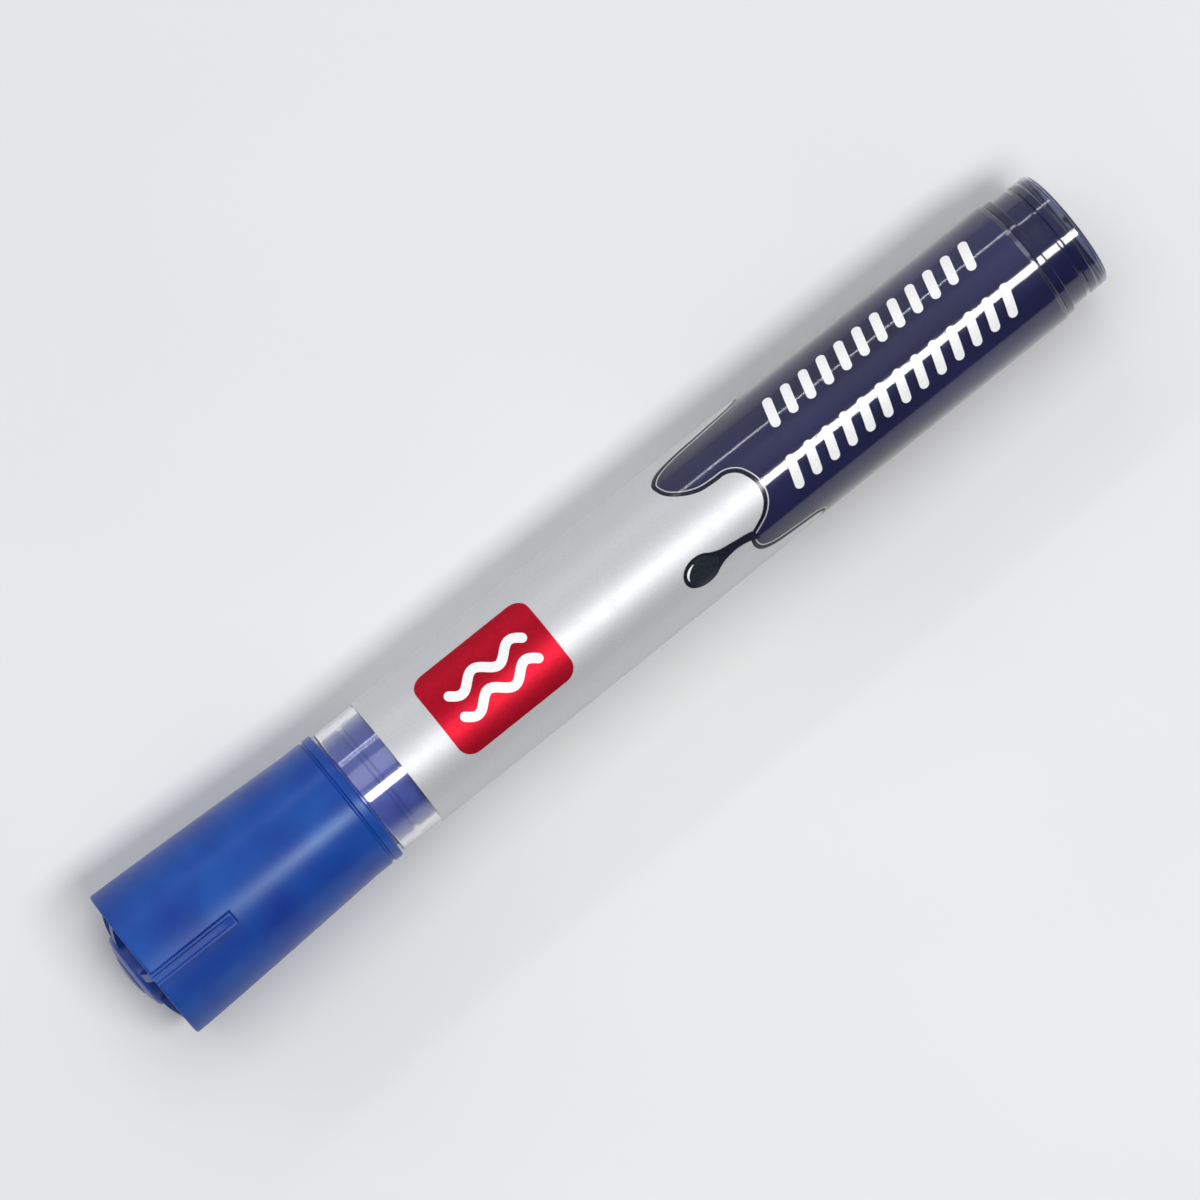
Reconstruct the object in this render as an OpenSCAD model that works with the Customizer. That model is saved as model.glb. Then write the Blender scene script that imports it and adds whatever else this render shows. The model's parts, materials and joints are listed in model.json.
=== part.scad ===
// Liquid-ink felt tip marker with a push-on ventilated cap.
// The marker lies along X: cap and nib toward -X, tail toward +X, standing on z = 0.
// Stations along the marker are measured from the rim of the cap's closed end.

/* [Overall] */
// Distance from the cap's closed rim to the tail's end face
marker_len = 135.2; // [125:0.1:150]
// Turn of the print about the marker's axis, from straight up toward -Y
print_turn = 0; // [-45:1:45]
// Turn of the cap's rib about the axis, from straight up toward -Y
rib_turn = 17; // [-90:1:90]

/* [Cap] */
// Outer radius of the cap at its closed rim
rim_r = 9.85; // [9.4:0.05:10.6]
// Outer radius of the cap at its open end
mouth_r = 8.62; // [8.6:0.01:8.8]
// Length of the cap's outer shell
cap_len = 30.9; // [30:0.1:31]
// Length over which the cap flares
flare_len = 27; // [20:0.5:28]
// Power of the flare's curve: 1 is a straight cone
flare_power = 1.2; // [1:0.05:1.6]
// Wall of the cap's outer shell
cap_wall = 1.1; // [0.9:0.05:1.3]
// Length of the anti-roll rib, from the closed rim
rib_len = 11.6; // [6:0.1:16]
// Width of the anti-roll rib
rib_w = 1.8; // [1.2:0.1:2.6]
// Radius that the rib's crest reaches
rib_r = 10.35; // [10.2:0.05:10.8]
// How far the domed boss stands out of the closed rim
boss_out = 2.2; // [1.6:0.1:2.6]
// Radius of the domed boss
boss_r = 4.85; // [4.7:0.05:5.2]
// Number of webs that hold the seal cup in the shell
web_count = 6; // [3:1:8]
// Thickness of a web
web_t = 1.1; // [0.8:0.1:1.6]

/* [Front section] */
// Radius of the cap's seat on the nib holder
seat_r = 7.35; // [7.2:0.05:7.4]
// Radius of the land that the seal cup closes on
land_r = 4.3; // [4.1:0.05:4.35]
// Radius of the nib
nib_r = 2.5; // [1.5:0.1:2.8]
// Length of nib that stands out of the holder
nib_out = 6.9; // [4:0.1:7.5]

/* [Barrel] */
// Outer radius of the barrel along its front half
barrel_r = 8.4; // [8.3:0.01:8.5]
// Outer radius of the barrel's tail half
barrel_tail_r = 8.25; // [8.2:0.01:8.3]
// Wall of the barrel
barrel_wall = 1.1; // [1.05:0.05:1.4]
// Radius of the reduced tail that the cap posts on
tail_r = 7.65; // [7.4:0.05:7.7]
// Length of the reduced tail
tail_len = 5.3; // [4.6:0.1:7]

/* [Ink feed] */
// Number of fins on the ink collector
fin_count = 20; // [8:1:24]
// Radius of the collector's fins
fin_r = 6.2; // [5.6:0.1:6.25]
// Radius of the feed wick
wick_r = 1.3; // [0.8:0.1:1.8]

/* [Print] */
// Thickness of the printed label film
film_t = 0.12; // [0.08:0.01:0.16]
// Thickness of a printed layer
print_t = 0.05; // [0.03:0.01:0.08]
// Length of the red panel along the marker
badge_len = 16.2; // [12:0.2:20]
// Width of the red panel across the marker
badge_w = 10.6; // [8:0.2:12]
// Corner radius of the red panel
badge_corner = 2.4; // [1:0.1:4]

/* [Hidden] */
$fn = 96;
far = 30;

// Stations along the axis
barrel_x0 = cap_len + 0.3;
holder_tip = 11.5;
land_x1 = 20.5;
cone_x1 = 25.5;
cavity_x0 = 28;
spigot_x1 = 45;
collector_x0 = 33;
collector_x1 = 66;
film_x0 = 36.8;
film_x1 = 92.6;
taper_x0 = 60;
taper_x1 = 95;
post_x0 = marker_len - tail_len;
flange_t = 1.1;
barrel_x1 = post_x0 - flange_t;
plug_x0 = barrel_x1 - 5;
plug_end_t = 1.5;
origin_x = (marker_len - boss_out) / 2;

// Radii that follow from the walls and the fits
bore_r = barrel_r - barrel_wall;
cap_bore_r = tail_r + 0.1;
bead_r = tail_r;
cup_bore_r = land_r + 0.05;
cup_r = cup_bore_r + 1;
spigot_bore_r = fin_r + 0.1;
plug_bore_r = bore_r - 1.2;
flange_r = barrel_tail_r - 0.2;

// Outer radius of the cap's shell, and the radius inside it, at a station
function cap_out(x) = mouth_r + (rim_r - mouth_r) * (1 - pow(min(1, x / flare_len), flare_power));
function cap_in(x) = max(cap_bore_r, cap_out(x) - cap_wall);
// Outer radius of the barrel at a station
function barrel_out(x) = barrel_r
    - (barrel_r - barrel_tail_r) * min(1, max(0, (x - taper_x0) / (taper_x1 - taper_x0)));

// Puts a marker drawn from x = 0 into its resting place on the ground
module placed() {
    translate([-origin_x, 0, rim_r]) children();
}

// Turns a profile of [station, radius] points into a solid of revolution about X
module turned(points) {
    rotate([0, 90, 0])
        rotate_extrude()
            polygon([for (p = points) [p[1], p[0]]]);
}

// A solid rod along X
module rod(r, x0, x1) {
    translate([x0, 0, 0]) rotate([0, 90, 0]) cylinder(r = r, h = x1 - x0);
}

// A shape drawn flat on the XY plane, carried straight up through the marker's skin and turned
module stamped(turn) {
    rotate([turn, 0, 0]) linear_extrude(far) children();
}

// A rectangle with round corners, centred on the origin
module round_rect(len, w, r) {
    square([len - 2 * r, w], center = true);
    square([len, w - 2 * r], center = true);
    for (sx = [-1, 1], sy = [-1, 1])
        translate([sx * (len / 2 - r), sy * (w / 2 - r)]) circle(r = r);
}

// A thin skin on the barrel between two stations, from one height above it to another
module skin(x0, x1, h0, h1) {
    bends = [for (x = [taper_x0, taper_x1]) if (x > x0 && x < x1) x];
    stations = concat([x0], bends, [x1]);
    back = [for (i = [len(stations) - 1 : -1 : 0]) stations[i]];
    turned(concat([for (x = stations) [x, barrel_out(x) + h1]],
                  [for (x = back) [x, barrel_out(x) + h0]]));
}

// Flat-topped bar of the anti-roll rib between two stations, its top edges cut back
module rib_bar(x0, x1) {
    cut = 0.15;
    half = rib_w / 2;
    foot_r = cap_out(rib_len) - 0.6;
    translate([x0, 0, 0]) rotate([90, 0, 90]) linear_extrude(x1 - x0)
        polygon([[-half, foot_r], [half, foot_r], [half, rib_r - cut], [half - cut, rib_r],
                 [cut - half, rib_r], [-half, rib_r - cut]]);
}

// Flared outer shell, open at both ends, with one anti-roll rib
module cap_shell() {
    steps = 10;
    edge = 0.35;
    outside = [for (i = [1 : steps]) let (x = flare_len * i / steps) [x, cap_out(x)]];
    inside = [for (i = [steps : -1 : 0]) let (x = flare_len * i / steps) [x, cap_in(x)]];
    color([0.11, 0.26, 0.55, 0.9]) placed() {
        turned(concat([[0, rim_r - edge], [edge * 0.3, rim_r - edge * 0.3], [edge, rim_r]], outside,
                      [[cap_len - edge, mouth_r], [cap_len, mouth_r - edge / 2],
                       [cap_len, cap_bore_r]], inside));
        difference() {
            rotate([rib_turn, 0, 0]) rib_bar(edge, rib_len);
            turned(concat([[-1, 0], [-1, cap_out(0) - cap_wall / 2]],
                          [for (p = outside) [p[0], p[1] - cap_wall / 2]],
                          [[cap_len, 0]]));
        }
    }
}

// Seal cup with its domed boss and the radial webs that hold it in the shell
module inner_cap() {
    dome = 0.9;
    dome_steps = 5;
    edge = 0.4;
    cup_x1 = 20;
    floor_x = 1.6;
    web_x0 = 0.4;
    web_x1 = 16;
    web_steps = 6;
    web_front = dome + edge - boss_out;
    color([0.10, 0.20, 0.50]) placed() {
        turned(concat([for (i = [0 : dome_steps]) let (share = i / dome_steps)
                          [dome * share * share - boss_out, (boss_r - edge) * share]],
                      [[web_front, boss_r], [1, boss_r], [3, cup_r], [cup_x1, cup_r],
                       [cup_x1, cup_bore_r], [floor_x + 1, cup_bore_r], [floor_x, cup_bore_r - 1],
                       [floor_x, 0]]));
        intersection() {
            for (i = [0 : web_count - 1])
                rotate([rib_turn + 360 * i / web_count, 0, 0])
                    translate([web_front, -web_t / 2, boss_r - 0.5])
                        cube([web_x1 - web_front, web_t, far]);
            turned(concat([[web_front, 0], [web_front, boss_r]],
                          [for (i = [0 : web_steps]) let (x = web_x0 + (web_x1 - web_x0) * i / web_steps)
                              [x, cap_in(x)]],
                          [[web_x1, 0]]));
        }
    }
}

// Bullet nib of bonded fibre
module nib() {
    tip_x = holder_tip - nib_out;
    bullet = nib_r * 1.5;
    steps = 9;
    color([0.06, 0.10, 0.30]) placed()
        turned(concat([[tip_x, 0]],
                      [for (i = [1 : steps]) let (a = 90 * i / steps)
                          [tip_x + bullet * (1 - cos(a)), nib_r * sin(a)]],
                      [[cavity_x0 - 1, nib_r], [cavity_x0 - 1, 0]]));
}

// Front section: nose, seal land, cap seat with its bead, and the spigot in the barrel
module nib_holder() {
    groove_x = 34;
    bead_x = 28.2;
    color([0.12, 0.22, 0.58]) placed()
        difference() {
            turned([[holder_tip, 0], [holder_tip, 3.1], [holder_tip + 0.4, 3.4],
                    [15.2, land_r], [land_x1, land_r], [land_x1 + 0.6, land_r + 0.9],
                    [cone_x1 - 0.6, seat_r - 0.5], [cone_x1, seat_r],
                    [bead_x - 0.5, seat_r], [bead_x, bead_r], [bead_x + 0.5, seat_r],
                    [barrel_x0, seat_r], [barrel_x0, bore_r], [groove_x - 0.4, bore_r],
                    [groove_x - 0.2, bore_r - 0.35], [groove_x + 0.2, bore_r - 0.35],
                    [groove_x + 0.4, bore_r],
                    [spigot_x1 - 0.5, bore_r], [spigot_x1, bore_r - 0.4], [spigot_x1, 0]]);
            rod(nib_r, holder_tip - 1, cavity_x0);
            rod(spigot_bore_r, cavity_x0, spigot_x1 + 1);
        }
}

// Clear tube that holds the ink
module barrel() {
    edge = 0.25;
    color([0.75, 0.80, 0.88, 0.35]) placed()
        turned([[barrel_x0, bore_r], [barrel_x0, barrel_r - edge], [barrel_x0 + edge, barrel_r],
                [taper_x0, barrel_r], [taper_x1, barrel_tail_r], [barrel_x1 - edge, barrel_tail_r],
                [barrel_x1, barrel_tail_r - edge], [barrel_x1, bore_r]]);
}

// Clear stopper: flange on the barrel's end, spigot with two beads, posting land with a groove
module tail_plug() {
    edge = 0.55;
    groove_x = post_x0 + tail_len * 0.46;
    color([0.35, 0.38, 0.55, 0.5]) placed()
        turned([[plug_x0, plug_bore_r], [plug_x0, bore_r - 0.5], [plug_x0 + 0.6, bore_r - 0.1],
                [plug_x0 + 1.2, bore_r], [plug_x0 + 1.8, bore_r - 0.1],
                [plug_x0 + 3.2, bore_r - 0.1], [plug_x0 + 3.6, bore_r], [barrel_x1, bore_r],
                [barrel_x1, flange_r - 0.2], [barrel_x1 + 0.2, flange_r],
                [post_x0 - 0.2, flange_r], [post_x0, flange_r - 0.2],
                [post_x0, tail_r], [groove_x - 0.3, tail_r], [groove_x - 0.2, tail_r - 0.25],
                [groove_x + 0.2, tail_r - 0.25], [groove_x + 0.3, tail_r],
                [marker_len - edge, tail_r], [marker_len - edge * 0.3, tail_r - edge * 0.3],
                [marker_len, tail_r - edge], [marker_len, 0],
                [marker_len - plug_end_t, 0], [marker_len - plug_end_t, plug_bore_r]]);
}

// Pleated ink controller: fins on a core, closed behind by a sealing disc
module collector() {
    core_r = 3;
    disc_t = 3;
    fin_t = 0.8;
    pitch = (collector_x1 - disc_t - collector_x0) / fin_count;
    color([0.90, 0.90, 0.88]) placed()
        difference() {
            turned(concat([[collector_x0, 0]],
                          [for (i = [0 : fin_count - 1], c = [[0, 0, 1], [0, 1, 1], [0, 1, 0], [1, 0, 0]])
                              [collector_x0 + i * pitch + (c[2] == 0 ? fin_t : 0),
                               c[1] == 1 ? fin_r : core_r]],
                          [[collector_x1 - disc_t, core_r], [collector_x1 - disc_t, bore_r],
                           [collector_x1, bore_r], [collector_x1, 0]]));
            rod(wick_r, collector_x0 - 1, collector_x1 + 1);
        }
}

// Fibre rod that carries ink from the reservoir to the nib
module feed_wick() {
    color([0.15, 0.18, 0.40]) placed() rod(wick_r, cavity_x0 - 1, collector_x1);
}

// Ink that fills the barrel behind the collector and the hollow of the tail plug
module ink_charge() {
    color([0.05, 0.06, 0.16]) placed()
        turned([[collector_x1, 0], [collector_x1, bore_r], [plug_x0, bore_r],
                [plug_x0, plug_bore_r], [marker_len - plug_end_t, plug_bore_r],
                [marker_len - plug_end_t, 0]]);
}

// A rounded notch in the film's tail edge, from a round tip to the edge
module film_notch(turn, half_w, tip_x) {
    stamped(print_turn + turn) translate([tip_x + half_w, 0]) {
        circle(r = half_w);
        translate([0, -half_w]) square([film_x1 - tip_x + 1, 2 * half_w]);
    }
}

// Silver printed film round the barrel, with a splash-shaped edge toward the tail.
// Each notch is its turn, its half width and the station of its tip.
module label_film() {
    notches = [[-33, 3.1, 78.8], [13, 3.5, 87.7], [55, 2.3, 83.8], [110, 2.8, 82],
               [160, 3.2, 86], [215, 2.6, 81], [262, 2.9, 85]];
    color([0.82, 0.83, 0.86]) placed()
        difference() {
            skin(film_x0, film_x1, 0, film_t);
            for (n = notches) film_notch(n[0], n[1], n[2]);
        }
}

// Red panel printed on the film
module badge_print() {
    badge_x = 51.1;
    color([0.72, 0.05, 0.18]) placed()
        intersection() {
            skin(badge_x - badge_len, badge_x + badge_len, film_t, film_t + print_t);
            stamped(print_turn) translate([badge_x, 0]) round_rect(badge_len, badge_w, badge_corner);
        }
}

// Dark ink drop printed on the film
module drop_print() {
    drop_turn = 38;
    drop_x = 77.2;
    drop_r = 1.95;
    stretch = 0.5;
    neck = 7;
    color([0.05, 0.05, 0.10]) placed()
        intersection() {
            skin(drop_x - 4, drop_x + neck + 2, film_t, film_t + print_t);
            stamped(print_turn + drop_turn) translate([drop_x, 0]) {
                for (side = [-1, 1]) translate([side * stretch, 0]) circle(r = drop_r);
                square([2 * stretch, 2 * drop_r], center = true);
                polygon([[0.4, drop_r * 0.95], [neck, 0.15], [neck, -0.15], [0.4, -drop_r * 0.95]]);
            }
        }
}

// Two rows of plain leaning bars printed on the clear part of the barrel.
// Each row is its turn, the station of its first bar and its number of bars.
module bar_print() {
    first_x = 92.4;
    rows = [[-29, first_x + 2.2, 12], [22, first_x, 13]];
    bar_pitch = 2.6;
    bar_w = 1.25;
    bar_len = 4.2;
    lean = 16;
    color([0.95, 0.95, 0.97]) placed()
        intersection() {
            skin(first_x - bar_len, barrel_x1 - 2, 0, print_t);
            for (row = rows)
                stamped(print_turn + row[0])
                    for (i = [0 : row[2] - 1])
                        translate([row[1] + i * bar_pitch, 0]) rotate(lean)
                            square([bar_w, bar_len], center = true);
        }
}

cap_shell();
inner_cap();
nib();
nib_holder();
barrel();
tail_plug();
collector();
feed_wick();
ink_charge();
label_film();
badge_print();
drop_print();
bar_print();
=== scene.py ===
"""Looks of a liquid-ink felt tip marker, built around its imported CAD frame.

Lengths are in millimetres unless a comment says otherwise. A station is the distance along the
marker from the rim of the cap's closed end, and a turn is the angle round its axis from straight
up toward -Y.
"""
import json
import math

import bmesh
import bpy
from mathutils import Matrix, Vector
from mathutils.geometry import delaunay_2d_cdt


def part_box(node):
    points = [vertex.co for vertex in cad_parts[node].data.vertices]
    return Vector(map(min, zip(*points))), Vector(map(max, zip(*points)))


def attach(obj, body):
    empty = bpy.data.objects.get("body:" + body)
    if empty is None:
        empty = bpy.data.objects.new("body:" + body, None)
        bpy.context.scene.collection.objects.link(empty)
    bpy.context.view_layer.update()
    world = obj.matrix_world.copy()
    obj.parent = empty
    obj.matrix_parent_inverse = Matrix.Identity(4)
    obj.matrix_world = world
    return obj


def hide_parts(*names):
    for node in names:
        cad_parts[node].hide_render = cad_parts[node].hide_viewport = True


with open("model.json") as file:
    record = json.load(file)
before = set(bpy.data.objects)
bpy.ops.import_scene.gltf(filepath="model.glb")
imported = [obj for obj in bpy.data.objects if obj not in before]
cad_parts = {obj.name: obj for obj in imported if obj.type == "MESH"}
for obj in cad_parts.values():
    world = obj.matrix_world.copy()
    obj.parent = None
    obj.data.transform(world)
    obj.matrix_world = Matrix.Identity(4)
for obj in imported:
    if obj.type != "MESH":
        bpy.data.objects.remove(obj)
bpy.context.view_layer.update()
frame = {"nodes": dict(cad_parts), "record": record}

# ---------------------------------------------------------------- sizes

MM = 0.001
MOUNTS = {m["name"]: m for m in frame["record"]["mounts"]}
BARREL_LOW, BARREL_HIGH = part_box("barrel")
AXIS_Z = (BARREL_LOW.z + BARREL_HIGH.z) / 2
RIM_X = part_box("cap_shell")[0].x


def stations(node):
    """The first and last station of a CAD node."""
    low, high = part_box(node)
    return (low.x - RIM_X) / MM, (high.x - RIM_X) / MM


def radius_of(node):
    """The outer radius of a round CAD node."""
    low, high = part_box(node)
    return (high.z - low.z) / 2 / MM


CAP_LEN = stations("cap_shell")[1]
RIM_R = AXIS_Z / MM
MOUTH_R = 8.62
FLARE_LEN = 27
FLARE_POWER = 1.2
CAP_WALL = 1.1
RIB_TURN = 17
RIB_LEN = 11.6
RIB_W = 1.8
RIB_R = 10.35
RIB_SIDE = 0.16
CHANNEL_W = 0.85
CHANNEL_DEEP = 0.2

BOSS_X = stations("inner_cap")[0]
BOSS_R = 4.85
BOSS_DOME = 0.9
BOSS_EDGE = 0.4
CUP_BORE_R = 4.35
CUP_R = CUP_BORE_R + 1
WEB_COUNT = 6

NIB_X0, NIB_X1 = stations("nib")
NIB_R = radius_of("nib")
HOLDER_X0, HOLDER_X1 = stations("nib_holder")
NOSE_R = 3.2
LAND_X0 = 15.2
LAND_X1 = 20.5
LAND_R = 4.3
SEAT_X0 = 25.5
SEAT_R = 7.35

BARREL_X0, BARREL_X1 = stations("barrel")
BARREL_R = radius_of("barrel")
BARREL_TAIL_R = MOUNTS["barrel_grip"]["dims"]["r_mm"]
TAPER_X0 = 60
TAPER_X1 = 95
BORE_R = radius_of("ink_charge")

PLUG_X0, TAIL_X = stations("tail_plug")
TAIL_R = MOUNTS["tail_post"]["dims"]["r_mm"]
CAP_BORE_R = TAIL_R + 0.1
POST_X0 = TAIL_X - 5.3
FLANGE_R = BARREL_TAIL_R - 0.2
PLUG_BORE_R = BORE_R - 1.2
SPIGOT_R = BORE_R - 0.1

INK_X0, INK_X1 = stations("ink_charge")
CREEP_X1 = BARREL_X1 - 0.5
FILM_X0, FILM_X1 = stations("label_film")
FILM_T = 0.12
PRINT_T = 0.05

# Heights above the barrel, low and high, of print on the bare tube, on the film and on other print.
ON_TUBE = (0, PRINT_T)
ON_FILM = (FILM_T, FILM_T + PRINT_T)
ON_PRINT = (FILM_T + PRINT_T, FILM_T + 2 * PRINT_T)
ON_HEART = (FILM_T + 2 * PRINT_T, FILM_T + 2.5 * PRINT_T)

# How far a piece that wets or grips a clear wall is drawn into it, so that no air shows between them.
WET = 0.02

# Sides of a turned piece, steps of a fillet, and the angle past which an edge is shaded sharp.
SEGMENTS = 192
FILLET_STEPS = 5
SHARP_DEG = 42


def cap_out(x):
    """Outer radius of the cap's shell."""
    return MOUTH_R + (RIM_R - MOUTH_R) * (1 - min(1, x / FLARE_LEN) ** FLARE_POWER)


def cap_in(x):
    """Inner radius of the cap's shell."""
    return max(CAP_BORE_R, cap_out(x) - CAP_WALL)


def barrel_out(x):
    """Outer radius of the barrel."""
    share = min(1, max(0, (x - TAPER_X0) / (TAPER_X1 - TAPER_X0)))
    return BARREL_R - (BARREL_R - BARREL_TAIL_R) * share


def at(x, r, turn):
    """The point in the frame, in metres, at a station, a radius and a turn in radians."""
    return Vector((RIM_X + x * MM, -r * MM * math.sin(turn), AXIS_Z + r * MM * math.cos(turn)))


def even(first, last, steps):
    """Values in even steps from first to last, both included."""
    return [first + (last - first) * k / steps for k in range(steps + 1)]


# ---------------------------------------------------------------- materials


class Finish:
    """A node material built round one Principled shader."""

    def __init__(self, name, **sockets):
        self.material = bpy.data.materials.new(name)
        self.material.use_nodes = True
        self.tree = self.material.node_tree
        self.shader = self.tree.nodes["Principled BSDF"]
        self.place = None
        for socket, value in sockets.items():
            self.shader.inputs[socket.replace("_", " ")].default_value = value

    def node(self, kind, **inputs):
        """A new node. An input is a number, a colour or another node's output."""
        made = self.tree.nodes.new("ShaderNode" + kind)
        for key, value in inputs.items():
            socket = made.inputs[key.replace("_", " ")]
            if isinstance(value, bpy.types.NodeSocket):
                self.tree.links.new(value, socket)
            else:
                socket.default_value = value
        return made

    def coords(self, stretch=(1, 1, 1)):
        """Object coordinates in metres, stretched along each axis."""
        if self.place is None:
            self.place = self.node("TexCoord").outputs["Object"]
        return self.node("Mapping", Vector=self.place, Scale=stretch).outputs["Vector"]

    def noise(self, scale, detail=3, stretch=(1, 1, 1), rough=0.5):
        """Noise between 0 and 1, with scale in features per metre."""
        made = self.node("TexNoise", Vector=self.coords(stretch), Scale=scale, Detail=detail, Roughness=rough)
        return made.outputs["Fac"]

    def colour(self, source, *stops):
        """Sets the base colour with a ramp of (place, colour) stops over a value."""
        made = self.node("ValToRGB", Fac=source)
        elements = made.color_ramp.elements
        for element, (place, shade) in zip(elements, (stops[0], stops[-1])):
            element.position = place
            element.color = (*shade, 1)
        for place, shade in stops[1:-1]:
            elements.new(place).color = (*shade, 1)
        self.set("Base Color", made.outputs["Color"])

    def spread(self, source, low, high):
        """A 0 to 1 value spread from low to high."""
        made = self.node("MapRange", Value=source)
        made.inputs["To Min"].default_value = low
        made.inputs["To Max"].default_value = high
        return made.outputs["Result"]

    def along(self, x0, x1):
        """0 at one station, 1 at another."""
        axes = self.node("SeparateXYZ", Vector=self.coords())
        made = self.node("MapRange", Value=axes.outputs["X"])
        made.inputs["From Min"].default_value = RIM_X + x0 * MM
        made.inputs["From Max"].default_value = RIM_X + x1 * MM
        return made.outputs["Result"]

    def plus(self, first, second):
        """The sum of two values."""
        made = self.node("Math")
        self.tree.links.new(first, made.inputs[0])
        self.tree.links.new(second, made.inputs[1])
        return made.outputs["Value"]

    def set(self, socket, source):
        """Links another node's output to a socket of the shader."""
        self.tree.links.new(source, self.shader.inputs[socket])

    def bump(self, height, distance):
        """Bump of a height between 0 and 1, with distance in millimetres."""
        made = self.node("Bump", Height=height, Distance=distance * MM, Strength=1.0)
        self.set("Normal", made.outputs["Normal"])


def grey(value):
    """A neutral colour."""
    return (value, value, value)


def cap_finish():
    """Translucent blue plastic, softly frosted, a little cloudy."""
    f = Finish("cap_plastic", IOR=1.44, Specular_Tint=(0.72, 0.93, 1.0, 1))
    cloud = f.noise(130, detail=2)
    f.colour(cloud, (0.3, (0.007, 0.034, 0.27)), (0.7, (0.009, 0.070, 0.355)))
    f.set("Alpha", f.spread(cloud, 0.94, 0.98))
    dulled = f.spread(f.along(2, 24), 0.44, 0.32)
    f.set("Roughness", f.plus(dulled, f.spread(f.noise(500), -0.03, 0.03)))
    return f.material


def cup_finish():
    """Blue satin plastic of the inner cup."""
    f = Finish("cup_plastic", IOR=1.49)
    f.colour(f.noise(250), (0.3, (0.012, 0.04, 0.26)), (0.7, (0.02, 0.06, 0.34)))
    f.set("Roughness", f.spread(f.noise(1500), 0.29, 0.42))
    f.bump(f.noise(3000, detail=2), 0.005)
    return f.material


def holder_finish():
    """Glossy blue plastic of the front section."""
    f = Finish("holder_plastic", IOR=1.5)
    f.colour(f.noise(200), (0.3, (0.065, 0.11, 0.52)), (0.7, (0.095, 0.15, 0.61)))
    f.set("Roughness", f.spread(f.noise(1200), 0.14, 0.26))
    f.bump(f.noise(2400, detail=2), 0.004)
    return f.material


def clear_finish():
    """Polished clear plastic with faint smears."""
    f = Finish("clear_plastic", IOR=1.49, Transmission_Weight=1.0, Coat_Weight=0.7, Coat_Roughness=0.08)
    f.colour(f.noise(60), (0.3, (0.93, 0.94, 0.97)), (0.7, (0.97, 0.975, 0.99)))
    f.set("Roughness", f.spread(f.noise(160, stretch=(0.3, 1, 1)), 0.09, 0.12))
    return f.material


def plug_finish():
    """Clear stopper with a blue-grey tint."""
    f = Finish("plug_plastic", IOR=1.49, Transmission_Weight=1.0, Coat_Weight=0.7, Coat_Roughness=0.08)
    f.colour(f.noise(90), (0.3, (0.42, 0.46, 0.74)), (0.7, (0.50, 0.54, 0.80)))
    f.set("Roughness", f.spread(f.noise(160), 0.09, 0.13))
    return f.material


def ink_finish():
    """Dark blue ink wetting the tube's wall, thinner in streaks."""
    f = Finish("ink", Roughness=0.6, IOR=1.33, Specular_IOR_Level=0.0)
    streaks = f.noise(140, detail=4, stretch=(0.25, 1, 1))
    f.colour(streaks, (0.35, (0.016, 0.016, 0.085)), (0.75, (0.038, 0.040, 0.180)))
    return f.material


def label_finish():
    """Silver-white film with a fine metallic grain."""
    f = Finish("label", Metallic=0.5, IOR=1.5)
    grain = f.noise(9000, detail=2)
    f.colour(grain, (0.3, (0.58, 0.585, 0.60)), (0.7, (0.67, 0.675, 0.69)))
    f.set("Roughness", f.spread(f.noise(700, detail=4), 0.46, 0.56))
    f.bump(grain, 0.002)
    return f.material


def badge_finish():
    """Red print that lets the film's metallic sheen through."""
    f = Finish("badge", IOR=1.5, Metallic=0.75)
    f.colour(f.noise(2500, detail=2), (0.3, (0.47, 0.001, 0.016)), (0.7, (0.54, 0.002, 0.024)))
    f.set("Roughness", f.spread(f.noise(900), 0.42, 0.52))
    return f.material


def print_finish(name, dark, light, rough):
    """Screen-printed ink with a fine grain."""
    f = Finish(name, IOR=1.5)
    f.colour(f.noise(4000, detail=2), (0.3, dark), (0.7, light))
    f.set("Roughness", f.spread(f.noise(1500), rough - 0.06, rough + 0.06))
    return f.material


def fibre_finish(name, dark, light):
    """Bonded fibre soaked with ink: fine strands along the axis."""
    f = Finish(name, IOR=1.4, Sheen_Weight=0.3, Sheen_Roughness=0.4)
    strands = f.noise(6500, detail=3, stretch=(0.12, 1, 1), rough=0.7)
    f.colour(strands, (0.3, dark), (0.7, light))
    f.set("Roughness", f.spread(f.noise(2000), 0.6, 0.9))
    f.bump(strands, 0.05)
    return f.material


def collector_finish():
    """Pale plastic, stained with ink between its fins."""
    f = Finish("collector_plastic", IOR=1.5)
    stain = f.noise(300, detail=4)
    f.colour(stain, (0.40, (0.05, 0.06, 0.30)), (0.55, (0.74, 0.75, 0.78)), (0.8, grey(0.80)))
    f.set("Roughness", f.spread(f.noise(1500), 0.35, 0.5))
    return f.material


def floor_finish():
    """Plain pale floor with a breath of unevenness."""
    f = Finish("floor", IOR=1.45)
    f.colour(f.noise(14, detail=2), (0.3, grey(0.74)), (0.7, grey(0.77)))
    f.set("Roughness", f.spread(f.noise(40), 0.55, 0.65))
    return f.material


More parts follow.
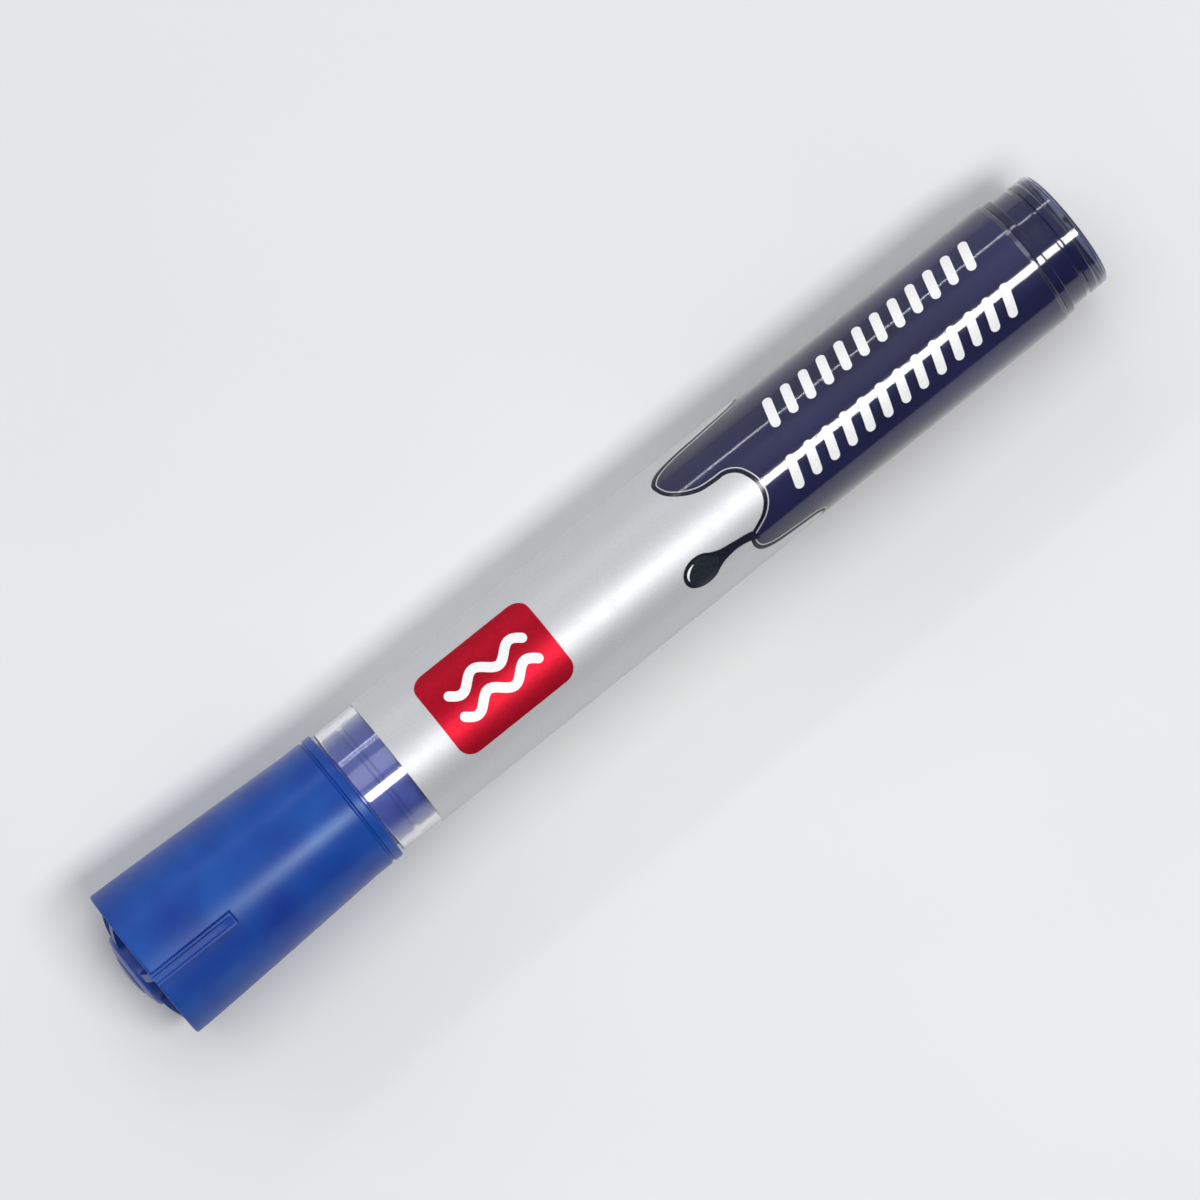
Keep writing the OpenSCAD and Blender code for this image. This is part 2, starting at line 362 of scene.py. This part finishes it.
FINISHES = {
    "cap_plastic": cap_finish(),
    "cup_plastic": cup_finish(),
    "holder_plastic": holder_finish(),
    "clear_plastic": clear_finish(),
    "plug_plastic": plug_finish(),
    "ink": ink_finish(),
    "label": label_finish(),
    "badge": badge_finish(),
    "dark_print": print_finish("dark_print", (0.006, 0.006, 0.016), (0.012, 0.012, 0.028), 0.20),
    "slate_print": print_finish("slate_print", (0.010, 0.013, 0.019), (0.020, 0.026, 0.036), 0.20),
    "white_print": print_finish("white_print", grey(0.82), grey(0.90), 0.35),
    "nib_fibre": fibre_finish("nib_fibre", (0.008, 0.012, 0.09), (0.03, 0.05, 0.24)),
    "wick_fibre": fibre_finish("wick_fibre", (0.010, 0.014, 0.10), (0.04, 0.06, 0.26)),
    "collector_plastic": collector_finish(),
}

# ---------------------------------------------------------------- shapes


def finished(name, mesh, finish, body, *nodes):
    """Puts a mesh in the scene with its finish, on its body, in place of its CAD nodes."""
    piece = bpy.data.objects.new(name, mesh)
    bpy.context.scene.collection.objects.link(piece)
    mesh.materials.append(FINISHES[finish])
    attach(piece, body)
    if nodes:
        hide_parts(*nodes)
    return piece


def filleted(corners):
    """A closed profile of (station, radius) points from (station, radius, fillet) corners.

    A point held just outside each end of a fillet keeps the shading of the flat beside it flat. A
    fillet takes under half of each side beside it, so that two never meet.
    """
    hold = 0.04
    most = 0.49
    points = []
    for i, (x, r, fillet) in enumerate(corners):
        here = Vector((x, r))
        if fillet == 0:
            points.append(here)
            continue
        to_last = Vector(corners[i - 1][:2]) - here
        to_next = Vector(corners[(i + 1) % len(corners)][:2]) - here
        room_last = to_last.length * most
        room_next = to_next.length * most
        half = to_last.angle(to_next) / 2
        cut = min(fillet / math.tan(half), room_last, room_next)
        to_last.normalize()
        to_next.normalize()
        centre = here + (to_last + to_next).normalized() * cut / math.cos(half)
        start = here + to_last * cut - centre
        sweep = start.angle_signed(here + to_next * cut - centre)
        if room_last > cut + hold:
            points.append(here + to_last * (cut + hold))
        for k in range(FILLET_STEPS + 1):
            a = -sweep * k / FILLET_STEPS
            turned = Vector((start.x * math.cos(a) - start.y * math.sin(a),
                             start.x * math.sin(a) + start.y * math.cos(a)))
            points.append(centre + turned)
        if room_next > cut + hold:
            points.append(here + to_next * (cut + hold))
    return points


def smooth(mesh):
    """Shades a mesh smooth, apart from its sharp edges."""
    mesh.polygons.foreach_set("use_smooth", [True] * len(mesh.polygons))
    mesh.set_sharp_from_angle(angle=math.radians(SHARP_DEG))
    return mesh


def add_lathe(bm, profile, turns=None, swell=None):
    """Adds the solid of revolution of a closed profile to bm. swell(x, r, turn) may change a radius."""
    turns = turns or [2 * math.pi * k / SEGMENTS for k in range(SEGMENTS)]
    rings = []
    for x, r in profile:
        if r < 1e-6:
            rings.append([bm.verts.new(at(x, 0, 0))])
        else:
            rings.append([bm.verts.new(at(x, swell(x, r, t) if swell else r, t)) for t in turns])
    for a, b in zip(rings, rings[1:] + rings[:1]):
        if len(a) == 1 and len(b) == 1:
            continue
        for k in range(len(turns)):
            m = (k + 1) % len(turns)
            quad = [a[k % len(a)], a[m % len(a)], b[m % len(b)], b[k % len(b)]]
            bm.faces.new(list(dict.fromkeys(quad)))


def mesh_of(bm, name):
    """Turns a bmesh into a smooth mesh whose faces point outward."""
    bmesh.ops.recalc_face_normals(bm, faces=bm.faces)
    mesh = bpy.data.meshes.new(name)
    bm.to_mesh(mesh)
    bm.free()
    return smooth(mesh)


def lathe(name, corners):
    """A mesh turned from (station, radius, fillet) corners."""
    bm = bmesh.new()
    add_lathe(bm, filleted(corners))
    return mesh_of(bm, name)


def groove(x, r, deep, top_w, floor_w, lip, root):
    """Corners of a groove round a part, with its depth, its widths and the fillets of its lips and roots."""
    return [(x - top_w / 2, r, lip), (x - floor_w / 2, r - deep, root),
            (x + floor_w / 2, r - deep, root), (x + top_w / 2, r, lip)]


# ---------------------------------------------------------------- cap


def rib_lift(x, r, turn):
    """Radius of the cap's flank, raised where the rib runs, with a shallow channel along its crest."""
    end_fade = 0.25
    channel_side = 0.15
    channel_x1 = RIB_LEN - 0.5
    if not 0 < x < RIB_LEN + 1 or r < cap_out(x) - 0.4:
        return r
    off = (turn - math.radians(RIB_TURN) + math.pi) % (2 * math.pi) - math.pi
    across = abs(off) * RIM_R
    flank = eased((RIB_W / 2 - across) / RIB_SIDE)
    end = eased((RIB_LEN - x) / end_fade)
    hollow = eased((CHANNEL_W / 2 - across) / channel_side + 0.5) * eased((channel_x1 - x) / end_fade)
    crest = (RIB_R - 0.02) / math.cos(off) - CHANNEL_DEEP * hollow
    return r + max(0, crest - r) * flank * end


def eased(share):
    """A share held between 0 and 1, with a soft start and stop."""
    share = min(1, max(0, share))
    return share * share * (3 - 2 * share)


def cap_shell():
    """Flared shell with its rib, a groove near the mouth and rounded rims."""
    # Stations down the flank, close together where the rib ends.
    outer = even(0.6, RIB_LEN - 0.6, 8) + even(RIB_LEN - 0.35, RIB_LEN + 0.05, 8)
    outer += even(RIB_LEN + 0.5, FLARE_LEN, 16)
    inner = even(FLARE_LEN, 0, 20)[1:-1]
    corners = [(0, cap_in(0), 0.25), (0, RIM_R, 0.42)]
    corners += [(x, cap_out(x), 0) for x in outer]
    corners += groove(CAP_LEN - 1.3, MOUTH_R, deep=0.22, top_w=0.5, floor_w=0.16, lip=0.06, root=0.05)
    corners += [(CAP_LEN, MOUTH_R, 0.22), (CAP_LEN, CAP_BORE_R, 0.18), (FLARE_LEN, CAP_BORE_R, 0)]
    corners += [(x, cap_in(x), 0) for x in inner]

    # Lengthwise lines lie close together at the rib's sides and at its channel's, and leave the others out.
    rib = math.radians(RIB_TURN)
    side = (RIB_W - RIB_SIDE) / 2 / RIM_R
    lip = CHANNEL_W / 2 / RIM_R
    side_step = 0.0022
    lip_step = 0.004
    clear = 0.002
    fine = [rib + s * (side + side_step * k) for s in (-1, 1) for k in range(-5, 6)]
    fine += [rib + s * (lip + lip_step * k) for s in (-1, 1) for k in range(-4, 5)]
    coarse = [2 * math.pi * k / SEGMENTS for k in range(SEGMENTS)]
    coarse = [t for t in coarse if all(abs(t - f) > clear for f in fine)]
    bm = bmesh.new()
    add_lathe(bm, filleted(corners), sorted(coarse + fine), rib_lift)
    return mesh_of(bm, "cap_shell")


def boss_face(r):
    """Station of the boss's crowned face at a radius."""
    return BOSS_X + BOSS_DOME * (r / (BOSS_R - BOSS_EDGE)) ** 2


def add_web(bm, turn):
    """One radial web of the seal cup, its front edge arching from the boss to the rim."""
    thick = 1.1
    front_x = BOSS_X + BOSS_DOME + BOSS_EDGE
    rim_x = 0.4
    back_x = 16
    root_x = 3
    root_r = CUP_R - 0.3
    gap = 0.02
    rise = cap_in(rim_x) - gap - BOSS_R
    outline = [(front_x, BOSS_R - 0.5)]
    outline += [(front_x + (rim_x - front_x) * k ** 1.6, BOSS_R + rise * k) for k in even(0, 1, 8)]
    outline += [(x, cap_in(x) - gap) for x in even(rim_x, back_x, 8)[1:]]
    outline += [(back_x, root_r), (root_x, root_r)]
    across = thick * MM * Vector((0, -math.cos(turn), -math.sin(turn)))
    sides = [[bm.verts.new(at(x, r, turn) + side * across) for x, r in outline] for side in (-0.5, 0.5)]
    faces = [bm.faces.new(sides[0]), bm.faces.new(sides[1][::-1])]
    count = len(outline)
    for k in range(count):
        m = (k + 1) % count
        bm.faces.new([sides[0][k], sides[0][m], sides[1][m], sides[1][k]])
    edges = [e for f in faces for e in f.edges]
    bmesh.ops.bevel(bm, geom=edges, offset=0.12 * MM, segments=2, profile=0.5, affect="EDGES")


def inner_cap():
    """Seal cup with a crowned boss, a recessed ring and a gate mark on its end."""
    floor_x = 1.6
    cup_x1 = 20
    ring_r = 2.85
    gate_x = BOSS_X + 0.2
    ring = ((ring_r - 0.28, 0), (ring_r - 0.14, 0.16), (ring_r + 0.14, 0.16), (ring_r + 0.28, 0))
    corners = [(gate_x, 0, 0), (gate_x, 0.55, 0.06), (boss_face(0.7), 0.7, 0.08)]
    corners += [(boss_face(r), r, 0) for r in (1.2, 1.7, 2.2)]
    corners += [(boss_face(r) + deep, r, 0.06) for r, deep in ring]
    corners += [(boss_face(r), r, 0) for r in (3.5, 3.9)]
    corners += [(boss_face(BOSS_R - BOSS_EDGE), BOSS_R, 0.45), (1, BOSS_R, 0.4), (3, CUP_R, 0.6),
                (cup_x1, CUP_R, 0.25), (cup_x1, CUP_BORE_R, 0.2), (floor_x, CUP_BORE_R, 1.0),
                (floor_x, 0, 0)]
    bm = bmesh.new()
    for k in range(WEB_COUNT):
        add_web(bm, math.radians(RIB_TURN) + 2 * math.pi * k / WEB_COUNT)
    add_lathe(bm, filleted(corners))
    return mesh_of(bm, "seal_cup")


# ---------------------------------------------------------------- front section


def nib():
    """Bullet nib, rounded by use, with a fine fuzz of fibres in its outline."""
    bullet = NIB_R * 1.5
    shank_x = NIB_X0 + bullet
    profile = [(NIB_X0, 0)]
    for a in even(0, math.pi / 2, 24)[1:]:
        profile.append((NIB_X0 + bullet * (1 - math.cos(a)), NIB_R * math.sin(a)))
    profile += [(x, NIB_R) for x in even(shank_x, shank_x + 3, 6)[1:]]
    profile += [(NIB_X1, NIB_R), (NIB_X1, 0)]

    def fuzz(x, r, turn):
        depth = 0.02
        wave = math.sin(23 * turn + 2.1 * x) * math.sin(41 * turn - 1.3 * x)
        return r - depth - depth * wave

    bm = bmesh.new()
    add_lathe(bm, profile, swell=fuzz)
    return mesh_of(bm, "nib")


def nib_holder():
    """Nose, seal land, cone, cap seat with its snap bead, and the spigot in the barrel."""
    bead_x = 28.2
    spigot_r = BORE_R - 0.04
    cavity_x = 28
    cavity_r = 6.3
    corners = [(HOLDER_X0, NIB_R, 0.1), (HOLDER_X0, NOSE_R, 0.35), (LAND_X0, LAND_R, 0.6),
               (LAND_X1, LAND_R, 0.2), (LAND_X1 + 0.6, LAND_R + 0.9, 0.4),
               (SEAT_X0 - 0.6, SEAT_R - 0.5, 0.5), (SEAT_X0, SEAT_R, 0.3),
               (bead_x - 0.5, SEAT_R, 0.1), (bead_x, TAIL_R, 0.2), (bead_x + 0.5, SEAT_R, 0.1),
               (BARREL_X0, SEAT_R, 0.05), (BARREL_X0, spigot_r, 0.05)]
    corners += groove(34, spigot_r, deep=0.32, top_w=0.9, floor_w=0.4, lip=0.08, root=0.08)
    corners += [(HOLDER_X1 - 0.5, spigot_r, 0.1), (HOLDER_X1, BORE_R - 0.4, 0.1),
                (HOLDER_X1, cavity_r, 0.1), (cavity_x, cavity_r, 0.3), (cavity_x, NIB_R, 0)]
    return lathe("nib_holder", corners)


# ---------------------------------------------------------------- barrel and tail


def barrel():
    """Clear tube, a little slimmer toward the tail."""
    corners = [(BARREL_X0, BORE_R, 0.12), (BARREL_X0, BARREL_R, 0.25), (TAPER_X0, BARREL_R, 0),
               (TAPER_X1, BARREL_TAIL_R, 0), (BARREL_X1, BARREL_TAIL_R, 0.25), (BARREL_X1, BORE_R, 0.1)]
    return lathe("barrel", corners)


def tail_plug():
    """Clear stopper: spigot, flange, posting land with a groove, closed end with a ring and a gate mark."""
    end_wall = 1.5
    ring_r = 5.15
    ring_x = TAIL_X - 0.2
    gate_x = TAIL_X - 0.25
    corners = [(PLUG_X0, PLUG_BORE_R, 0), (PLUG_X0, SPIGOT_R, 0), (CREEP_X1 - WET, SPIGOT_R, 0),
               (CREEP_X1 - WET, BORE_R + WET, 0), (BARREL_X1 - WET, BORE_R + WET, 0),
               (BARREL_X1 - WET, FLANGE_R, 0.2), (POST_X0, FLANGE_R, 0.2), (POST_X0, TAIL_R, 0.06)]
    corners += groove(POST_X0 + 2.44, TAIL_R, deep=0.25, top_w=0.72, floor_w=0.4, lip=0.06, root=0.08)
    corners += [(TAIL_X, TAIL_R, 0.55), (TAIL_X, ring_r + 0.45, 0.05), (ring_x, ring_r + 0.25, 0.08),
                (ring_x, ring_r - 0.25, 0.08), (TAIL_X, ring_r - 0.45, 0.05),
                (TAIL_X, 0.8, 0.05), (gate_x, 0.6, 0.08), (gate_x, 0, 0),
                (TAIL_X - end_wall, 0, 0), (TAIL_X - end_wall, PLUG_BORE_R, 0.4)]
    return lathe("tail_plug", corners)


def ink_charge():
    """Ink between the collector and the stopper's end, creeping round the stopper's spigot."""
    inside = PLUG_BORE_R + WET
    corners = [(INK_X0, 0, 0), (INK_X0, BORE_R + WET, 0), (CREEP_X1, BORE_R + WET, 0),
               (CREEP_X1, SPIGOT_R - WET, 0), (PLUG_X0 + WET, SPIGOT_R - WET, 0), (PLUG_X0 + WET, inside, 0),
               (INK_X1 + WET, inside, 0.4), (INK_X1 + WET, 0, 0)]
    return lathe("ink_charge", corners)


# ---------------------------------------------------------------- film and print

# Outlines on the film are flat (station, arc) points. The arc runs round the barrel toward -Y, at
# the radius of its front half.


def arc(turn_deg):
    """The arc of a turn in degrees."""
    return math.radians(turn_deg) * BARREL_R


def spline(points, closed=False, steps=8):
    """A Catmull-Rom curve through points."""
    pts = [Vector(p) for p in points]
    count = len(pts)
    if not closed:
        pts = [2 * pts[0] - pts[1]] + pts + [2 * pts[-1] - pts[-2]]
    out = []
    for i in range(count if closed else count - 1):
        p0, p1, p2, p3 = (pts[(i + k - 1) % count] if closed else pts[i + k] for k in range(4))
        for k in range(steps):
            t = k / steps
            out.append(0.5 * (2 * p1 + (p2 - p0) * t + (2 * p0 - 5 * p1 + 4 * p2 - p3) * t ** 2
                              + (3 * p1 - p0 - 3 * p2 + p3) * t ** 3))
    if not closed:
        out.append(pts[-2])
    return out


def divided(loop):
    """A closed loop with its long sides cut up."""
    longest = 0.3
    out = []
    for i, p in enumerate(loop):
        q = loop[(i + 1) % len(loop)]
        parts = max(1, math.ceil((q - p).length / longest))
        out += [p.lerp(q, k / parts) for k in range(parts)]
    return out


def filled(loops, pitch):
    """Flat points and triangles that fill loops, with inner points at a pitch."""
    points, faces = [], []
    for loop in loops:
        ring = divided([Vector(p) for p in loop])
        faces.append(list(range(len(points), len(points) + len(ring))))
        points += ring
    x0, x1 = min(p.x for p in points), max(p.x for p in points)
    y0, y1 = min(p.y for p in points), max(p.y for p in points)
    for i in range(1, int((x1 - x0) / pitch)):
        for j in range(1, int((y1 - y0) / pitch)):
            points.append(Vector((x0 + i * pitch, y0 + (j + 0.5 * (i % 2)) * pitch)))
    flat, _, tris, _, _, _ = delaunay_2d_cdt(points, [], faces, 2, 1e-5)
    used = sorted({v for tri in tris for v in tri})
    index = {v: k for k, v in enumerate(used)}
    return [flat[v] for v in used], [[index[v] for v in tri] for tri in tris]


def rim_of(tris):
    """The edges that only one triangle has."""
    edges = [edge for tri in tris for edge in zip(tri, tri[1:] + tri[:1])]
    known = set(edges)
    return [(a, b) for a, b in edges if (b, a) not in known]


def wrapped(name, loops, low, high, pitch=0.5):
    """A thin layer on the barrel inside flat loops, from low to high above it."""
    flat, tris = filled(loops, pitch)
    count = len(flat)
    verts = [at(p.x, barrel_out(p.x) + height, p.y / BARREL_R) for height in (high, low) for p in flat]
    polygons = tris + [[v + count for v in tri[::-1]] for tri in tris]
    polygons += [[b, a, a + count, b + count] for a, b in rim_of(tris)]
    mesh = bpy.data.meshes.new(name)
    mesh.from_pydata(verts, [], polygons)
    outward = [Vector((0, v.y, v.z - AXIS_Z)).normalized() for v in verts]
    first = mesh.polygons[0]
    if first.normal.dot(outward[first.vertices[0]]) < 0:
        mesh.flip_normals()
    mesh.polygons.foreach_set("use_smooth", [True] * len(mesh.polygons))
    normals = []
    for face in mesh.polygons:
        for v in face.vertices:
            if face.index < len(tris):
                normals.append(outward[v])
            elif face.index < 2 * len(tris):
                normals.append(-outward[v])
            else:
                normals.append(face.normal)
    mesh.normals_split_custom_set(normals)
    return mesh


def stroke(points, widths):
    """The outline of a brush stroke along points, with a width at each and round ends."""
    left, right = [], []
    last = len(points) - 1
    for i, p in enumerate(points):
        along = (points[min(i + 1, last)] - points[max(i - 1, 0)]).normalized()
        across = Vector((-along.y, along.x)) * widths[i] / 2
        left.append(p + across)
        right.append(p - across)

    def round_end(centre, start):
        return [centre + Vector((start.x * math.cos(a) - start.y * math.sin(a),
                                 start.x * math.sin(a) + start.y * math.cos(a)))
                for a in even(0, -math.pi, 8)[1:-1]]

    head = round_end(points[-1], left[-1] - points[-1])
    tail = round_end(points[0], right[0] - points[0])
    return left + head + right[::-1] + tail


def round_rect(x, length, width, r):
    """A rectangle with round corners, centred at a station and on turn 0."""
    out = []
    for sx, sy, start in ((1, 1, 0), (-1, 1, 90), (-1, -1, 180), (1, -1, 270)):
        cx = x + sx * (length / 2 - r)
        cy = sy * (width / 2 - r)
        for angle in even(start, start + 90, 8):
            a = math.radians(angle)
            out.append(Vector((cx + r * math.cos(a), cy + r * math.sin(a))))
    return out


BADGE_X = 51.1
BADGE_LEN = 16.2
BADGE_W = 11.5
BADGE_CORNER = 1.9
DROP_X = 77.2
DROP_TURN = 38
DROP_LEN = 4.9
DROP_W = 3.9
BARS_X = 92.4

# The film's splashed edge, as (station, turn in degrees) once round from the seam underneath.
SPLASH = [(90.5, -180), (89.0, -172), (84.5, -166), (82.2, -158), (82.0, -148), (84.2, -141), (88.5, -138),
          (90.2, -132), (89.6, -126), (86.0, -121), (82.8, -114), (81.6, -104), (82.6, -95), (86.5, -89),
          (91.5, -85), (92.5, -78), (91.6, -71), (87.0, -65), (83.0, -61), (80.2, -55), (78.8, -46),
          (78.7, -37), (79.3, -27), (80.8, -18), (82.6, -12.5), (84.6, -11), (86.0, -10.5), (87.1, -6),
          (87.7, 1), (88.0, 9), (87.9, 17), (87.4, 25), (86.4, 32), (85.2, 36.5), (84.2, 40), (83.7, 46),
          (83.7, 54), (84.4, 62), (86.2, 68), (89.0, 71), (92.0, 74), (92.4, 79), (90.6, 84), (86.6, 88),
          (83.4, 94), (82.1, 103), (82.6, 112), (85.2, 119), (88.6, 124), (89.8, 130), (88.9, 137),
          (86.4, 143), (85.4, 151), (86.4, 160), (89.2, 167), (90.6, 173), (90.5, 180)]


def splash_line():
    """The splashed edge as a smooth flat line."""
    return spline([(x, arc(turn)) for x, turn in SPLASH])


def offset_line(line, distance):
    """A line moved sideways, toward the tail for a positive distance."""
    out = []
    last = len(line) - 1
    for i, p in enumerate(line):
        along = (line[min(i + 1, last)] - line[max(i - 1, 0)]).normalized()
        out.append(p + Vector((along.y, -along.x)) * distance)
    return out


def label_film():
    """The film, with a hairline seam underneath."""
    seam = 0.04
    glue = 0.01
    edge = splash_line()
    edge[0].y += seam
    edge[-1].y -= seam
    outline = [Vector((FILM_X0, edge[0].y))] + edge + [Vector((FILM_X0, edge[-1].y))]
    return wrapped("label_film", [outline], glue, FILM_T, pitch=0.55)


def band(name, near, far):
    """A narrow band that follows the splashed edge, between two distances from it."""
    line = splash_line()
    return wrapped(name, [offset_line(line, near) + offset_line(line, far)[::-1]], *ON_TUBE)


def badge():
    """Red panel with round corners."""
    return wrapped("badge", [round_rect(BADGE_X, BADGE_LEN, BADGE_W, BADGE_CORNER)], *ON_FILM)


def ripples():
    """Two plain wavy lines on the red panel."""
    length = 10.6
    height = 0.75
    width = 1.15
    loops = []
    for cy in (-1.45, 1.45):
        line = []
        for share in even(0, 1, 48):
            wave = height * math.sin(4 * math.pi * share)
            line.append(Vector((BADGE_X + length * (share - 0.5), cy + wave)))
        loops.append(stroke(line, [width] * len(line)))
    return wrapped("ripples", loops, *ON_PRINT, pitch=0.3)


def drop_outline(inset=0.0, neck=True):
    """A drop lying on its side, its neck toward the tail, or the body inside its outline."""
    cy = arc(DROP_TURN)
    long = DROP_LEN / 2 - inset
    wide = DROP_W / 2 - inset
    angles = [math.radians(angle) for angle in range(40, 330, 20)]
    body = [(DROP_X + long * math.cos(a), cy + wide * math.sin(a)) for a in angles]
    if neck:
        body += [(DROP_X + 3.0, cy - 0.75), (DROP_X + 4.8, cy - 0.42), (DROP_X + 6.6, cy - 0.1),
                 (DROP_X + 7.3, arc(39.5)), (DROP_X + 7.5, arc(48.0)),
                 (DROP_X + 6.4, cy + 0.95), (DROP_X + 4.8, cy + 0.62), (DROP_X + 3.0, cy + 0.8)]
    else:
        body += [(DROP_X + long * 1.15, cy - 0.12)]
    return spline(body, closed=True)


def drop():
    """Dark drop with its neck."""
    return wrapped("ink_drop", [drop_outline()], *ON_FILM, pitch=0.3)


def drop_heart():
    """The slate inside of the drop."""
    return wrapped("drop_heart", [drop_outline(inset=0.38, neck=False)], *ON_PRINT, pitch=0.3)


def drop_glint():
    """A pale crescent along the drop's upper side."""
    inset = 0.55
    cy = arc(DROP_TURN)
    long = DROP_LEN / 2 - inset
    wide = DROP_W / 2 - inset
    angles = [math.radians(angle) for angle in even(180, 255, 12)]
    line = [Vector((DROP_X + long * math.cos(a), cy + wide * math.sin(a))) for a in angles]
    widths = [0.08 + 0.22 * math.sin(math.pi * share) for share in even(0, 1, 12)]
    return wrapped("drop_glint", [stroke(line, widths)], *ON_HEART, pitch=0.3)


def bar_row(name, turn, first_x, count):
    """A row of plain leaning bars with round ends on the clear part of the barrel."""
    pitch = 2.6
    width = 1.2
    lean = math.radians(16)
    half = Vector((-math.sin(lean), math.cos(lean))) * 1.55
    loops = []
    for k in range(count):
        middle = Vector((first_x + k * pitch, arc(turn)))
        loops.append(stroke([middle - half, middle, middle + half], [width] * 3))
    return wrapped(name, loops, *ON_TUBE, pitch=0.3)


# ---------------------------------------------------------------- the object

finished("cap_shell_part", cap_shell(), "cap_plastic", "cap", "cap_shell")
finished("seal_cup", inner_cap(), "cup_plastic", "cap", "inner_cap")
finished("bullet_nib", nib(), "nib_fibre", "pen", "nib")
finished("front_section", nib_holder(), "holder_plastic", "pen", "nib_holder")
finished("clear_tube", barrel(), "clear_plastic", "pen", "barrel")
finished("tail_stopper", tail_plug(), "plug_plastic", "pen", "tail_plug")
finished("ink_body", ink_charge(), "ink", "pen", "ink_charge")
finished("film", label_film(), "label", "pen", "label_film")
finished("film_outline", band("film_outline", 0.0, 0.42), "dark_print", "pen")
# A strip of the film's silver finish just past the splashed edge is a painted reflection: the film's edge
# seen a second time in the tube's inner wall.
finished("painted_edge_reflection", band("painted_edge_reflection", 0.55, 0.68), "label", "pen")
finished("red_panel", badge(), "badge", "pen", "badge_print")
finished("panel_ripples", ripples(), "white_print", "pen")
finished("ink_drop", drop(), "dark_print", "pen", "drop_print")
finished("drop_heart", drop_heart(), "slate_print", "pen")
finished("drop_glint", drop_glint(), "white_print", "pen")
finished("upper_bars", bar_row("upper_bars", -29, BARS_X + 2.2, 12), "white_print", "pen", "bar_print")
finished("lower_bars", bar_row("lower_bars", 22, BARS_X, 13), "white_print", "pen")

# The pieces that stay as CAD made them, with a finish each.
for cad_node, cad_finish in (("collector", "collector_plastic"), ("feed_wick", "wick_fibre")):
    cad_mesh = frame["nodes"][cad_node].data
    cad_mesh.materials.clear()
    cad_mesh.materials.append(FINISHES[cad_finish])

# ---------------------------------------------------------------- stage

# Sizes and distances of the stage are in metres.
CENTRE = Vector((0, 0, AXIS_Z))


def toward(turn_deg, distance, along=0.0):
    """A place round the marker's axis, at a turn from straight up toward -Y."""
    a = math.radians(turn_deg)
    return CENTRE + Vector((along, -distance * math.sin(a), distance * math.cos(a)))


def softbox(name, place, length, width, power, colour=(1, 1, 1)):
    """A rectangular light aimed at the marker, its long side along the marker."""
    lamp = bpy.data.lights.new(name, "AREA")
    lamp.shape = "RECTANGLE"
    lamp.size = length
    lamp.size_y = width
    lamp.energy = power
    lamp.color = colour
    holder = bpy.data.objects.new(name, lamp)
    back = (place - CENTRE).normalized()
    side = (Vector((1, 0, 0)) - back * back.x).normalized()
    up = back.cross(side)
    holder.matrix_world = Matrix.Translation(place) @ Matrix((side, up, back)).transposed().to_4x4()
    bpy.context.scene.collection.objects.link(holder)
    return holder


softbox("key_strip", toward(21, 0.9, 0.11), length=0.42, width=0.20, power=4.4)
softbox("side_strip", toward(-51.6, 0.9), length=0.9, width=0.04, power=0.8, colour=(0.93, 0.95, 1.0))
softbox("overhead", toward(-14, 1.5), length=1.6, width=0.9, power=7).visible_glossy = False

# The sky is brighter toward +Y than toward -Y.
world = bpy.data.worlds.new("studio")
world.use_nodes = True
sky = world.node_tree
sky_place = sky.nodes.new("ShaderNodeTexCoord")
sky_axes = sky.nodes.new("ShaderNodeSeparateXYZ")
sky_fall = sky.nodes.new("ShaderNodeMapRange")
sky.links.new(sky_place.outputs["Generated"], sky_axes.inputs["Vector"])
sky.links.new(sky_axes.outputs["Y"], sky_fall.inputs["Value"])
sky.links.new(sky_fall.outputs["Result"], sky.nodes["Background"].inputs["Strength"])
sky_fall.inputs["From Min"].default_value = -1
sky_fall.inputs["To Min"].default_value = 0.10
sky_fall.inputs["To Max"].default_value = 0.54
sky.nodes["Background"].inputs["Color"].default_value = (0.95, 0.97, 1.0, 1)
bpy.context.scene.world = world

FLOOR_HALF = 3
floor_corners = [(sx * FLOOR_HALF, sy * FLOOR_HALF, 0) for sx, sy in ((-1, -1), (1, -1), (1, 1), (-1, 1))]
floor_mesh = bpy.data.meshes.new("floor")
floor_mesh.from_pydata(floor_corners, [], [(0, 1, 2, 3)])
floor_mesh.materials.append(floor_finish())
floor = bpy.data.objects.new("floor", floor_mesh)
bpy.context.scene.collection.objects.link(floor)

# The camera stands at the photograph's viewing angle.
AZIMUTH = math.radians(-38.8)
ELEVATION = math.radians(84)
CAMERA_DISTANCE = 0.78
LENS = 205
back = Vector((math.sin(AZIMUTH) * math.cos(ELEVATION), -math.cos(AZIMUTH) * math.cos(ELEVATION),
               math.sin(ELEVATION)))
camera_data = bpy.data.cameras.new("camera")
camera_data.lens = LENS
camera = bpy.data.objects.new("camera", camera_data)
camera.location = CENTRE + back * CAMERA_DISTANCE
camera.rotation_euler = back.to_track_quat("Z", "Y").to_euler()
bpy.context.scene.collection.objects.link(camera)
bpy.context.scene.camera = camera
bpy.context.scene.view_settings.view_transform = "Standard"
